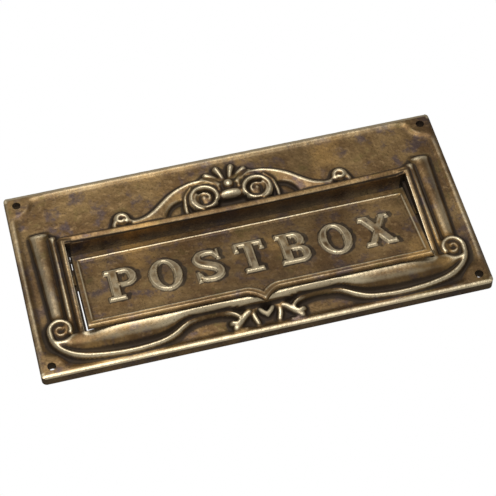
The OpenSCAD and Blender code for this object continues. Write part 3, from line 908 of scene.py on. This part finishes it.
KNUCKLES, KNUCKLE_R = ((88, 97), (58, 66)), 2.7
LUG_SIZE, LUG_X, LUG_Y, LUG_Z = (2, 4.4, 3), 72.4, 0.55, -12.9
for side in (-1, 1):
    for near_x, far_x in KNUCKLES:
        solid_bar(bm, *sorted((side * near_x, side * far_x)), KNUCKLE_R)
    lug = bmesh.ops.create_cube(bm, size=1)["verts"]
    bmesh.ops.scale(bm, verts=lug, vec=Vector(LUG_SIZE) * MM)
    bmesh.ops.translate(bm, verts=lug, vec=Vector((side * LUG_X, LUG_Y, LUG_Z)) * MM)
    rims = list(dict.fromkeys(e for v in lug for e in v.link_edges))
    bmesh.ops.bevel(bm, geom=rims, offset=0.4 * MM, segments=2, profile=0.5, affect="EDGES", material=-1)
hang = Matrix.Translation((0, -ROD_H * MM, ROD_Z * MM)) @ Matrix.Rotation(-SLOPE, 4, "X")
bmesh.ops.transform(bm, verts=bm.verts, matrix=hang)
# The flap's brass is 1.45 times as light as the plate's, as painted light for its tilted face.
flap = piece("flap_casting", bm, antique_brass("antique_brass_flap", 1.45))
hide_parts("flap")
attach(flap, "flap")

# --- The hinge rod and its caps --------------------------------------------------------------------------
# A drawn steel rod through the knuckles, pushed into the side walls of the slot, with a small turned cap
# pressed on each end in a pocket at the back.
ROD_R, ROD_END = 1.25, 107.4
CAP_FLANGE, CAP_HEAD = (105.7, 106.5, 2.6, 0.2), (106.4, 108, 1.9, 0.3)


def dull_steel(name):
    """Drawn steel, greyed, with fine lines along it and a little brown in places."""
    m = Finish(name)
    lines = m.patch(600, 3, 0.6, stretch=(0.06, 1, 1))
    cloud = m.patch(160, 4, 0.6)
    base = m.blend(lines.ramp(0.3, 0.7), (0.20, 0.20, 0.20), (0.40, 0.39, 0.37))
    base = m.blend(cloud.ramp(0.56, 0.70) * 0.5, base, (0.12, 0.07, 0.035))
    rough = 0.30 + lines * 0.2 + cloud.ramp(0.5, 0.7) * 0.15
    bump = m.node("Bump", Strength=0.25, Distance=0.0001, Height=lines)
    return m.finish(m.node("BsdfPrincipled", Base_Color=base, Metallic=0.95, Roughness=rough, Normal=bump))


steel = dull_steel("dull_steel")
bm = bmesh.new()
solid_bar(bm, -ROD_END, ROD_END, ROD_R, -ROD_H, ROD_Z, 0.3)
rod = piece("steel_hinge_rod", bm, steel, 40)
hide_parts("hinge_rod")
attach(rod, "frame")

bm = bmesh.new()
for side in (-1, 1):
    for near_x, far_x, r, soft in (CAP_FLANGE, CAP_HEAD):
        solid_bar(bm, *sorted((side * near_x, side * far_x)), r, -ROD_H, ROD_Z, soft)
caps = piece("pressed_rod_caps", bm, steel, 40)
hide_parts("rod_caps")
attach(caps, "frame")

# --- The springs -----------------------------------------------------------------------------------------
# Two close-wound springs of steel wire on the rod. One leg stands up into a hole in the ledge, and the other
# runs down behind the flap and hooks through its lug, so each turn twists a little as the flap is lifted.
WIRE, COIL_R, TURNS = 0.8, 1.85, 7
COIL_X, LEG_TOP, HOOK_X = 80.0, 20.4, 70.8
COIL_END = COIL_X - WIRE * TURNS


def wire_spring(side):
    """One spring as a mesh, from its upper leg through its turns to its hook."""
    start = [(COIL_X, COIL_R, LEG_TOP - ROD_Z - 0.9 * k) for k in range(10)]
    total = TURNS * 2 * math.pi + SLOPE
    steps = TURNS * 28
    turns = [(COIL_X - WIRE * TURNS * k / steps, COIL_R * math.cos(total * k / steps),
              -COIL_R * math.sin(total * k / steps)) for k in range(steps + 1)]
    leg_x = turns[-1][0]
    down = [(0.0, 1.0), (0.0, 4.0), (0.0, 8.0), (0.0, 12.4), (0.3, 12.9), (0.9, 13.0), (leg_x - HOOK_X, 13.0)]
    low = [(leg_x - dx, COIL_R * math.cos(SLOPE) - dz * math.sin(SLOPE),
            -COIL_R * math.sin(SLOPE) - dz * math.cos(SLOPE)) for dx, dz in down]
    path = bpy.data.curves.new("wire", "CURVE")
    path.dimensions = "3D"
    path.bevel_depth = WIRE / 2 * MM
    path.bevel_resolution = 3
    path.use_fill_caps = True
    route = [p for p in start if p[2] > 0.2] + turns + low
    line = path.splines.new("POLY")
    line.points.add(len(route) - 1)
    for point, (px, py, pz) in zip(line.points, route):
        point.co = (side * px * MM, (py - ROD_H) * MM, (pz + ROD_Z) * MM, 1)
    curve_object = bpy.data.objects.new("wire", path)
    bpy.context.collection.objects.link(curve_object)
    bpy.context.view_layer.update()
    bm = bmesh.new()
    bm.from_mesh(curve_object.to_mesh())
    bpy.data.objects.remove(curve_object)
    bmesh.ops.remove_doubles(bm, verts=bm.verts, dist=1e-6)
    return bm


for side, name in ((-1, "left"), (1, "right")):
    spring = piece("wire_spring_" + name, wire_spring(side), steel, 60)
    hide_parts("spring_" + name)
    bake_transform(spring, "frame", "flap", start=(side * COIL_X * MM, 0, 0), end=(side * COIL_END * MM, 0, 0))
